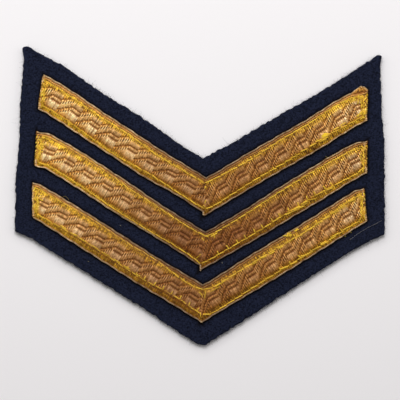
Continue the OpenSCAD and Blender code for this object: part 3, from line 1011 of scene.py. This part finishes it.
def build_cords(chevron, material):
    """Twisted cords along the edges of the lace and over its turned ends."""
    strands = Strands()
    add_tip(strands, chevron)
    for side in (LEFT, RIGHT):
        arm = ARMS[chevron, side]
        add_rim(strands, arm)
        for edge, inset, radius, inner in CORDS:
            t = from_edge(edge, inset)
            near, far = arm.runs_to(arm.mitre, t), arm.runs_to(arm.end, t)
            if side == RIGHT:
                near += 0.12 if edge else 0.40
            else:
                near -= 0.10
            if chevron == "upper" and side == RIGHT and edge and not inner:
                far = arm.reach - CORD_UNDER_FLAP
            s = np.arange(near, far - 0.15, 0.2)
            z = (arm_weave_z(arm, s, t) + WEFT_HALF_H + radius * 0.9
                 - 0.9 * fold_fall(arm, s, t))
            centre = arm.place(s, t, z)[None]
            tone = lumpy(s, -4, 70, 0.62, 0.22)[None]
            # The cords share the arm's tarnish and painted shade
            strands.add_twisted(centre, radius * CORD_PLY_OUT, CORD_TWIST, rng.uniform(0, 6),
                                radius * CORD_PLY_R, 4, inner=inner, tone=tone,
                                worn=wear_and_shade_at(arm, s)[None])
    if chevron == "upper":
        path = open_path(FLAP, 0.18)
        for inset, z in ((0.0, 2.40), (0.30, 2.46)):
            line = path[3:-1] if inset else path
            middle = np.column_stack([line - (0.35 * inset, inset),
                                      z + 0.03 * np.sin(np.arange(len(line)))])[None]
            tone = np.maximum(rng.normal(0.95, 0.45, (1, len(line))), 0.25)
            strands.add_twisted(middle, 0.09, 0.9, rng.uniform(0, 6), 0.11, 4,
                                inner=inset / 0.3, tone=tone, worn=0.3)
    strands.piece(f"{chevron}_chevron_edge_cords", material, "gold_lace")


# The sewing


def inset_at(arm, edge, s):
    """Distance of the sewing from an edge of the lace."""
    return eased(SEWING_INSET[arm.chevron, arm.side][edge], s / arm.reach)


def sewing_point(arm, s, edge):
    return arm.place(s, from_edge(edge, inset_at(arm, edge, s)), 0.0)[..., :2]


def sewing_path(chevron):
    """The closed line of sewing round one chevron, as points close together."""
    left, right = ARMS[chevron, LEFT], ARMS[chevron, RIGHT]
    high_meet, low_meet = (np.array(p) for p in SEWING_MEETS[chevron])
    inside, past_meeting = 1.15, 2.2

    def run(arm, edge, meet):
        start = (meet - arm.point) @ arm.along + past_meeting
        stop = arm.runs_to(arm.end, from_edge(edge, 1.5 if edge else 1.4)) - inside
        return sewing_point(arm, np.arange(start, stop, 0.4), edge)

    return np.concatenate([
        run(left, 0, low_meet)[::-1], low_meet[None], run(right, 0, low_meet),
        run(right, 1, high_meet)[::-1], high_meet[None], run(left, 1, high_meet)])


def nearest_arm(chevron, xy):
    """The arm that a point of the badge lies on, with its s and t there."""
    found = []
    for side in (LEFT, RIGHT):
        arm = ARMS[chevron, side]
        s, t = (xy - arm.point) @ arm.along, (xy - arm.point) @ arm.over
        found.append((arm.off_line(arm.mitre, s, t), arm, s, t))
    return max(found, key=lambda row: row[0])[1:]


def stitch_centres(chevron, holes, lift, rings=13):
    """Arched middle lines of stitches between pairs of needle holes."""
    share = np.linspace(0, 1, rings)
    lines = []
    for a, b in holes:
        xy = a + (b - a) * share[:, None]
        z = [arm_weave_z(*nearest_arm(chevron, p)) for p in xy[::3]]
        ground = np.interp(share, share[::3], z)
        arch = np.minimum(1, np.sin(math.pi * share) * 2.6)
        lines.append(np.column_stack([xy, ground + 0.06 + lift * arch - 0.20 * (1 - arch)]))
    return np.array(lines)


def needle_holes(path):
    """Needle holes at nearly even steps of the stitch along a closed path."""
    closed = np.concatenate([path, path[:1]])
    length = run_along(closed)[-1]
    count = round(length / STITCH)
    at = np.linspace(0, length, count, endpoint=False) + rng.uniform(-0.12, 0.12, count)
    return points_at(closed, at % length)


# Sewn over again: arm, edge, shares from and to, inset from and to, rows, stitches
RESEWN = (
    ("upper", RIGHT, 0, 0.42, 0.80, 1.7, 2.6, 1, 9),
    ("upper", RIGHT, 0, 0.672, 0.692, 2.0, 2.3, 2, 3),
    ("middle", RIGHT, 0, 0.42, 0.70, 1.9, 1.8, 1, 7),
    ("middle", RIGHT, 0, 0.50, 0.56, 1.7, 1.8, 2, 4),
    ("lower", RIGHT, 0, 0.45, 0.80, 1.5, 1.6, 1, 7),
    ("lower", RIGHT, 1, 0.35, 0.90, 2.5, 2.1, 1, 12),
    ("lower", LEFT, 0, 0.35, 0.75, 2.4, 2.4, 1, 8),
)
# Short stitches across the line: arm, edge, shares from and to, count, length
CROSS_TICKS = (
    ("middle", RIGHT, 0, 0.10, 0.45, 8, 1.3),
    ("lower", LEFT, 0, 0.05, 0.42, 9, 1.1),
    ("upper", RIGHT, 0, 0.40, 0.80, 4, 0.7),
    ("middle", RIGHT, 0, 0.45, 0.75, 7, 1.2),
    ("lower", RIGHT, 0, 0.45, 0.80, 7, 1.0),
)
# Stitches crowded along each end: how many, how far in they reach
END_STITCHES = {
    ("upper", LEFT): (6, 1.5), ("upper", RIGHT): (13, 1.9),
    ("middle", LEFT): (9, 1.6), ("middle", RIGHT): (11, 2.0),
    ("lower", LEFT): (11, 2.2), ("lower", RIGHT): (11, 1.8),
}
# Patches sewn over and over: corners of a triangle in the badge's plane, stitches, how fresh
PATCHES = {
    "upper": ((((48.9, 22.9), (49.8, 25.6), (46.6, 24.6)), 8, 0.2),
              (((48.6, 30.6), (49.4, 28.0), (44.4, 28.4)), 9, 0.2),
              (((36.7, 17.8), (38.5, 18.9), (37.2, 18.9)), 12, 1.0)),
    "middle": ((((-48.1, 18.9), (-44.6, 16.9), (-48.2, 12.0)), 17, 0.2),),
    "lower": ((((-49.3, 3.2), (-45.4, 0.9), (-49.3, -4.0)), 9, 0.2),
              (((24.4, -12.2), (30.0, -9.0), (26.8, -12.2)), 10, 0.4)),
}
# Single stitches beside the folded points: x and y of both ends. They are duller than new.
SEAM_FRESH = -0.8
SEAM_BITS = {
    "upper": ((1.70, 3.10, 1.45, 2.20), (1.75, -1.0, 1.45, -2.3), (0.9, -2.6, 1.6, -3.3)),
    "middle": ((1.75, -11.7, 2.45, -12.1), (4.25, -11.7, 4.4, -12.4), (0.6, -12.4, 1.2, -13.2),
               (-1.14, -18.6, 0.36, -17.1), (3.2, -12.0, 5.2, -10.9)),
    "lower": ((1.65, -28.2, 1.35, -30.6), (-0.3, -28.6, 0.8, -29.7), (0.1, -34.6, 0.2, -36.0),
              (3.0, -28.6, 6.0, -26.9), (4.4, -27.2, 7.4, -25.3)),
}


def turned(way, angle):
    """A flat way turned by an angle in radians."""
    c, s = math.cos(angle), math.sin(angle)
    return np.array((way[0] * c - way[1] * s, way[0] * s + way[1] * c))


def patch_holes(corners, count):
    """Short stitches that cross each other in a triangle."""
    a, b, c = (np.array(p) for p in corners)
    along = (b - a) / np.linalg.norm(b - a)
    pairs = []
    for _ in range(count):
        u, v = np.sort(rng.uniform(0, 1, 2))
        middle = a * u + b * (v - u) + c * (1 - v)
        way = turned(along, rng.choice((-0.5, 0.35)) + rng.normal(0, 0.15))
        half = rng.uniform(0.30, 0.60)
        pairs.append((middle - half * way, middle + half * way))
    return pairs


def end_holes(arm):
    """Stitches crowded along a turned end, no two alike."""
    low, high = arm.end
    length = float(np.linalg.norm(high - low))
    way = (high - low) / length
    count, depth = END_STITCHES[arm.chevron, arm.side]
    pairs = []
    for stop in np.linspace(1.5, length - 1.3 - arm.droop, count):
        lie = turned(way, rng.normal(0, 0.45))
        inward = -rng.uniform(0.75, depth) * arm.along
        middle = low + way * (stop + rng.normal(0, 0.15)) + inward
        half = rng.uniform(0.35, 0.75)
        pairs.append((middle - half * lie, middle + half * lie))
    return pairs


def resewn_holes(chevron):
    """Lines that were sewn over again."""
    pairs = []
    for name, side, edge, start, stop, inset_a, inset_b, rows, count in RESEWN:
        if name != chevron:
            continue
        arm = ARMS[name, side]
        for row in range(rows):
            share = np.linspace(start, stop, count) + rng.normal(0, 0.003, count)
            inset = inset_a + (inset_b - inset_a) * (share - start) / (stop - start)
            inset = inset + rng.normal(0, 0.10, count) + 0.30 * (row - (rows - 1) / 2)
            s, t = share * arm.reach, from_edge(edge, inset)
            length = rng.uniform(1.7, 2.6, count)
            lean = rng.normal(-0.25, 0.15, count)
            pairs += zip(arm.place(s, t, 0.0)[:, :2], arm.place(s + length, t + lean, 0.0)[:, :2])
    return pairs


def cross_holes(chevron):
    """Short stitches that run in from the line of sewing."""
    pairs = []
    for name, side, edge, start, stop, count, length in CROSS_TICKS:
        if name != chevron:
            continue
        arm = ARMS[name, side]
        s = (np.linspace(start, stop, count) + rng.normal(0, 0.004, count)) * arm.reach
        near = inset_at(arm, edge, s) - 0.1
        far = near + length * rng.uniform(0.8, 1.15, count)
        a = arm.place(s, from_edge(edge, near), 0.0)[:, :2]
        b = arm.place(s + rng.normal(0.1, 0.12, count), from_edge(edge, far), 0.0)[:, :2]
        pairs += zip(a, b)
    return pairs


def extra_holes(chevron):
    """All the stitches beside the line of sewing, and how fresh each one is."""
    pairs = end_holes(ARMS[chevron, LEFT]) + end_holes(ARMS[chevron, RIGHT])
    fresh = [0.0] * len(pairs)
    for corners, count, how_fresh in PATCHES[chevron]:
        pairs += patch_holes(corners, count)
        fresh += [how_fresh] * count
    for bit in SEAM_BITS[chevron]:
        pairs.append((np.array(bit[:2]), np.array(bit[2:])))
        fresh.append(SEAM_FRESH)
    pairs += resewn_holes(chevron) + cross_holes(chevron)
    fresh += [0.0] * (len(pairs) - len(fresh))
    return pairs, np.array(fresh)[:, None]


def add_stitches(strands, centre, worn, fresh):
    phase = rng.uniform(0, 6, (len(centre), 1))
    strands.add_twisted(centre, PLY_OFFSET, PLY_TWIST, phase, THREAD_R, 5, worn=worn, fresh=fresh)


def build_sewing(chevron, material):
    strands = Strands()
    holes = needle_holes(sewing_path(chevron))
    pairs = []
    for a, b in zip(holes, np.roll(holes, -1, axis=0)):
        way = (b - a) / np.linalg.norm(b - a)
        aside, inside = 0.09 * square_to(way), 0.06 * way
        pairs.append((a + aside + inside, b - aside - inside))
    centre = stitch_centres(chevron, pairs, LINE_LIFT)
    add_stitches(strands, centre, rng.uniform(0.0, 0.65, (len(centre), 1)), 0.0)
    extra, fresh = extra_holes(chevron)
    centre = stitch_centres(chevron, extra, CROSSED_LIFT, 10)
    centre[..., 2] += rng.uniform(0, 0.12, (len(centre), 1))
    worn = rng.uniform(0.0, 1.0, (len(centre), 1)) * (1 - fresh)
    fresh = np.maximum(fresh, rng.uniform(0, 0.35, (len(centre), 1)))
    add_stitches(strands, centre, worn, fresh)
    strands.piece(f"{chevron}_chevron_sewing", material, "yellow_thread")


# The cloth


def outline_of(node):
    """The outline of a solid's flat underside, anticlockwise, in millimetres."""
    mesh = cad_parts[node].data
    place = [tuple(round(c / MM, 4) for c in v.co) for v in mesh.vertices]
    lowest = min(p[2] for p in place)
    uses = {}
    for face in mesh.polygons:
        corners = [place[i] for i in face.vertices]
        if max(p[2] for p in corners) < lowest + 1e-3:
            for a, b in zip(corners, corners[1:] + corners[:1]):
                uses.setdefault(frozenset((a, b)), []).append((a, b))
    after = {}
    for found in uses.values():
        if len(found) == 1:
            after[found[0][1]] = found[0][0]
    start = min(after)
    line, here = [start], after[start]
    while here != start:
        line.append(here)
        here = after[here]
    line = np.array(line)[:, :2]
    return line if area_of(line) > 0 else line[::-1]


def area_of(line):
    """Area inside a closed line, above zero where it runs anticlockwise."""
    x, y = line.T
    return 0.5 * np.sum(x * np.roll(y, -1) - y * np.roll(x, -1))


def respaced(line, step):
    """A closed line with its points at an even step."""
    closed = np.concatenate([line, line[:1]])
    length = run_along(closed)[-1]
    return points_at(closed, np.linspace(0, length, int(length / step), endpoint=False))


def edge_ways(line):
    """The way that a closed line runs at each of its points."""
    way = np.roll(line, -1, axis=0) - np.roll(line, 1, axis=0)
    return way / np.linalg.norm(way, axis=1, keepdims=True)


def pulled_in(line, distance):
    """A closed anticlockwise line moved inwards."""
    way = edge_ways(line)
    return line + np.asarray(distance)[..., None] * np.stack([-way[:, 1], way[:, 0]], 1)


def waves(xy, length, seed, rows=7):
    """A smooth random field of about unit height."""
    own = np.random.default_rng(seed)
    total = 0
    for _ in range(rows):
        turn = own.uniform(0, 2 * math.pi)
        k = 2 * math.pi / (length * own.uniform(0.7, 1.5))
        total = total + np.sin(k * (xy[:, 0] * math.cos(turn) + xy[:, 1] * math.sin(turn))
                               + own.uniform(0, 6.3))
    return total / math.sqrt(rows / 2)


def lace_cover(xy):
    """Distance to the nearest lace, below zero under it."""
    best = np.full(len(xy), 99.0)
    for arm in ARMS.values():
        rel = xy - arm.point
        s, t = rel @ arm.along, rel @ arm.over
        t = t - arm.shift(s, t)
        out = np.maximum(np.maximum(-t, t - LACE_W), -arm.off_line(arm.end, s, t))
        out = np.maximum(out, -arm.off_line(arm.mitre, s, t) - 0.4)
        best = np.minimum(best, out)
    return best


def cloth_height(xy):
    """Height of the felted top: uneven, drawn down beside the laces and pressed under them."""
    under = lace_cover(xy)
    z = CLOTH_TOP + 0.05 * waves(xy, 24.0, 11) + 0.025 * waves(xy, 5.5, 12)
    z = z + 0.018 * waves(xy, 1.9, 13, 12)
    z = z - 0.10 * np.exp(-np.maximum(under, 0) / 0.7)
    return np.where(under < 0.05, z - 0.16 * smooth(0.05, -0.35, under), z)


# Where the shears strayed: place, shift and reach of each small push of the cut edge
STRAYS = (
    (4.2, 13.0, -0.30, 0.50, 2.6), (1.0, 11.5, -0.3, -0.20, 1.2),
    (-53.0, 42.6, -0.30, 0.25, 1.8), (-40.0, 38.0, 0.18, 0.30, 13.0),
    (-17.0, 23.0, 0.07, 0.12, 11.0), (24.0, 26.0, -0.09, 0.16, 13.0),
    (-55.0, 12.0, -0.19, 0.0, 30.0), (55.0, 12.0, 0.16, 0.0, 30.0),
    (-38.0, -21.5, 0.15, 0.26, 9.0), (-16.0, -34.0, 0.07, 0.13, 15.0),
    (30.0, -27.0, -0.05, 0.08, 20.0), (1.6, -44.0, 0.0, 0.14, 5.0),
    (-52.4, 44.2, -0.50, 0.40, 0.9), (-51.5, 44.6, 0.0, 0.30, 1.0),
    (52.9, 41.6, 0.0, 0.45, 1.1), (54.3, 42.0, 0.30, 0.0, 0.6),
    (-55.3, -10.3, -0.20, 0.05, 0.7), (-54.3, -11.1, 0.0, 0.45, 1.1),
    (55.2, -10.9, 0.20, -0.45, 0.8), (1.65, -44.7, 0.10, -0.40, 0.6),
    (-52.7, 44.5, -0.50, 0.0, 0.7), (2.4, 11.6, -0.15, 0.50, 0.9),
)
# The cut edge from the back to the top: distance in from the line, height
CUT_EDGE = ((0.30, 0.14), (0.10, 0.20), (0.0, 0.45), (-0.02, 1.0), (0.0, 1.55), (0.10, 1.85),
            (0.28, 1.97), (0.55, None))


def strayed(line):
    """A line pushed where the shears strayed."""
    for x, y, dx, dy, reach in STRAYS:
        near = np.exp(-((line[:, 0] - x) ** 2 + (line[:, 1] - y) ** 2) / reach ** 2)
        line = line + near[:, None] * (dx, dy)
    return line


def frayed(line):
    """The cut edge with its threads: coarse lumps, and finer ones between them."""
    rough = np.zeros(len(line))
    for seed, size, evening in ((21, 0.17, 1), (23, 0.04, 5)):
        bumps = size * np.random.default_rng(seed).normal(0, 1, len(line))
        for _ in range(evening):
            bumps = 0.5 * bumps + 0.25 * (np.roll(bumps, 1) + np.roll(bumps, -1))
        rough = rough + bumps
    return pulled_in(line, rough)


def cloth_rings(line, own):
    """Rings from the back, up the cut edge, to the rim of the top."""
    n = len(line)
    rings = []
    for inset, z in CUT_EDGE:
        ring = pulled_in(line, inset + own.normal(0, 0.03, n) * (inset < 0.2))
        height = cloth_height(ring) if z is None else np.full(n, z) + own.normal(0, 0.015, n)
        rings.append(np.column_stack([ring, height]))
    return rings


def filled(outline, inner=()):
    """Triangles that fill a closed outline, with points inside it: their corners and points."""
    flat = [Vector(p) for p in (*outline, *inner)]
    points, _, faces, _, _, _ = delaunay_2d_cdt(flat, [], [list(range(len(outline)))], 1, 1e-6)
    return np.array([tuple(p) for p in points]), np.array([tuple(f) for f in faces], int)


def build_cloth(material):
    """The shield: a felted top, a cut and rounded edge, a flat back."""
    line = frayed(strayed(respaced(outline_of("backing_cloth"), 0.4)))
    n = len(line)
    own = np.random.default_rng(22)
    rings = cloth_rings(line, own)
    low, high = line.min(0), line.max(0)
    wide, tall = 0.62, 0.54
    gx, gy = np.meshgrid(np.arange(low[0], high[0], wide), np.arange(low[1], high[1], tall))
    gx = gx + np.where(np.arange(len(gx)) % 2, wide / 2, 0.0)[:, None]
    grid = np.stack([gx.ravel(), gy.ravel()], 1) + own.normal(0, 0.05, (gx.size, 2))
    grid = grid[inside_line(pulled_in(line, 0.95), grid)]
    xy, top = filled(rings[-1][:, :2], grid)
    back = filled(rings[0][:, :2])[1]
    points = np.concatenate([*rings[:-1], np.column_stack([xy, cloth_height(xy)])])
    ring = np.arange(len(rings) * n).reshape(-1, n)
    after = np.roll(ring, -1, 1)
    edge = np.stack([ring[:-1], after[:-1], after[1:], ring[1:]], -1).reshape(-1, 4)
    faces = [edge, top + (len(rings) - 1) * n, back[:, ::-1]]
    # A painted shadow on the wool beside the laces, darkest at their edges
    near = 0.95 * np.exp(-(np.maximum(lace_cover(points[:, :2]) - 0.1, 0) / 0.55) ** 2)
    piece = make_piece("navy_cloth_shield", points, faces, material, {"near": near})
    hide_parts("backing_cloth")


def inside_line(line, xy):
    """Which points lie inside a closed line."""
    x, y = xy[:, 0], xy[:, 1]
    inside = np.zeros(len(xy), bool)
    for a, b in zip(line, np.roll(line, -1, axis=0)):
        if a[1] == b[1]:
            continue
        crosses = (a[1] > y) != (b[1] > y)
        inside ^= crosses & (x < (b[0] - a[0]) * (y - a[1]) / (b[1] - a[1]) + a[0])
    return inside


def fibres(strands, root, way, length, curl, radius, rings, own):
    """Short bent hairs from root, each leaning over its own way."""
    share = np.linspace(0, 1, rings)[None, :, None]
    bend = own.normal(0, 1, (len(root), 1, 3)) * (1.0, 1.0, 0.45)
    centre = (root[:, None] + way[:, None] * length[:, None, None] * share
              + bend * curl * length[:, None, None] * share ** 2)
    centre[..., 2] = np.maximum(centre[..., 2], 0.05)
    taper = radius * (1 - 0.7 * share[..., 0])
    strands.add(centre, taper, taper, 3, tone=own.uniform(0, 1, (len(root), 1)))


def build_fibres(material):
    """Loose wool along the cut edge and lying on the face."""
    own = np.random.default_rng(31)
    strands = Strands()
    line = respaced(outline_of("backing_cloth"), 0.066)
    n = len(line)
    way = edge_ways(line)
    out = np.stack([way[:, 1], -way[:, 0]], 1)
    root = np.column_stack([line - 0.12 * out, own.uniform(0.25, 1.9, n)])
    lean = np.column_stack([out + way * own.normal(0, 0.8, (n, 1)), own.normal(0, 0.35, n)])
    lean /= np.linalg.norm(lean, axis=1, keepdims=True)
    fibres(strands, root, lean, own.gamma(2.2, 0.18, n) + 0.12, 0.5, 0.020, 4, own)
    box_low, box_high = line.min(0), line.max(0)
    spots = own.uniform(box_low, box_high, (9000, 2))
    spots = spots[inside_line(respaced(line, 1.0), spots)]
    spots = spots[lace_cover(spots) > 0.1]
    turn = own.uniform(0, 2 * math.pi, len(spots))
    root = np.column_stack([spots, cloth_height(spots) + 0.01])
    lean = np.column_stack([np.cos(turn), np.sin(turn), np.abs(own.normal(0.05, 0.08, len(spots)))])
    fibres(strands, root, lean, own.gamma(2.5, 0.25, len(spots)) + 0.2, 0.5, 0.018, 4, own)
    strands.piece("navy_cloth_fibres", material, "navy_cloth")


# Odd threads on the wool: path, thickness, how pale, height above the floor
LOOSE = (
    (((-41.4, -0.5), (-41.0, 0.0), (-40.3, 0.1), (-39.7, -0.5), (-39.3, -1.1)), 0.07, 0.12, 2.16),
    (((37.6, 12.1), (38.1, 11.8), (38.6, 11.3), (38.4, 10.9)), 0.07, 0.16, 2.16),
    (((43.0, -11.2), (43.5, -11.5), (43.7, -11.9), (43.4, -12.1)), 0.13, 0.30, 2.18),
    (((44.6, -10.2), (45.1, -10.5), (45.4, -10.9)), 0.15, 0.30, 2.18),
    (((44.9, -13.0), (47.3, -11.2), (50.1, -9.5), (52.7, -8.2), (54.5, -7.2)), 0.020, 0.80, 2.20),
    (((-24.0, -8.6), (-23.7, -8.8)), 0.06, 0.55, 2.13),
    (((-33.6, -19.4), (-33.3, -19.6)), 0.05, 0.45, 2.13),
    (((6.6, -19.6), (6.8, -19.9), (6.7, -20.1)), 0.06, 0.60, 2.13),
)


def build_loose(material):
    """Thread ends, one pale hair and specks of lint lying on the wool."""
    strands = Strands()
    for path, radius, paleness, z in LOOSE:
        line = open_path(path, 0.3)
        centre = np.column_stack([line, np.full(len(line), z)])[None]
        strands.add(centre, radius, radius, 5, tint=paleness)
    strands.piece("loose_threads", material, "loose_fibre")


# Making every piece

build_cloth(wool_material())
build_fibres(fibre_material())
build_loose(loose_material())
makers = ((build_ground, ground_material()), (build_weft, gilt_weft_material()),
          (build_binders, binder_material()), (build_cords, cord_material()),
          (build_sewing, sewing_material()))
for chevron in CHEVRONS:
    for build, material in makers:
        build(chevron, material)


# The studio


def build_floor():
    """A wide pale table under the badge."""
    material, _, _ = new_material("pale_table", Base_Color=(0.86, 0.845, 0.85, 1),
                                  Roughness=0.9, Specular_IOR_Level=0.1)
    mesh = bpy.data.meshes.new("floor")
    half = 1.5
    corners = [(-half, -half, 0), (half, -half, 0), (half, half, 0), (-half, half, 0)]
    mesh.from_pydata(corners, [], [(0, 1, 2, 3)])
    mesh.materials.append(material)
    floor = bpy.data.objects.new("floor", mesh)
    bpy.context.scene.collection.objects.link(floor)


def add_light(name, place, aim, size, power, colour):
    data = bpy.data.lights.new(name, "AREA")
    data.shape, data.size, data.size_y = "RECTANGLE", size[0], size[1]
    data.energy, data.color = power, colour
    light = bpy.data.objects.new(name, data)
    light.location = place
    way = Vector(aim) - Vector(place)
    light.rotation_mode = "QUATERNION"
    light.rotation_quaternion = way.to_track_quat("-Z", "Y")
    bpy.context.scene.collection.objects.link(light)


build_floor()
world = bpy.data.worlds.new("studio")
world.use_nodes = True
world.node_tree.nodes["Background"].inputs[0].default_value = (1.0, 0.985, 0.99, 1)
world.node_tree.nodes["Background"].inputs[1].default_value = 0.20
bpy.context.scene.world = world
add_light("window_left", (-0.42, 0.14, 0.36), (-0.02, 0, 0), (0.30, 0.40), 0.55, (1.0, 0.98, 0.95))
add_light("window_right", (0.45, 0.16, 0.34), (0.02, 0, 0), (0.26, 0.36), 0.5, (1.0, 0.98, 0.96))
add_light("window_top", (-0.06, 0.46, 0.36), (0, 0.04, 0), (0.5, 0.26), 1.0, (0.99, 0.99, 1.0))
add_light("lamp_above", (-0.01, 0.32, 0.58), (0, 0, 0), (0.34, 0.24), 2.45, (1.0, 0.99, 1.0))

camera_data = bpy.data.cameras.new("camera")
camera_data.sensor_width = 36.0
camera_data.lens = 150.0
camera_data.clip_start, camera_data.clip_end = 0.01, 10.0
camera = bpy.data.objects.new("camera", camera_data)
camera.location = (0.0, PHOTO_MIDDLE_Y,
                   FACE_Z + FIELD * camera_data.lens / camera_data.sensor_width)
bpy.context.scene.collection.objects.link(camera)
bpy.context.scene.camera = camera
bpy.context.scene.view_settings.view_transform = "Standard"
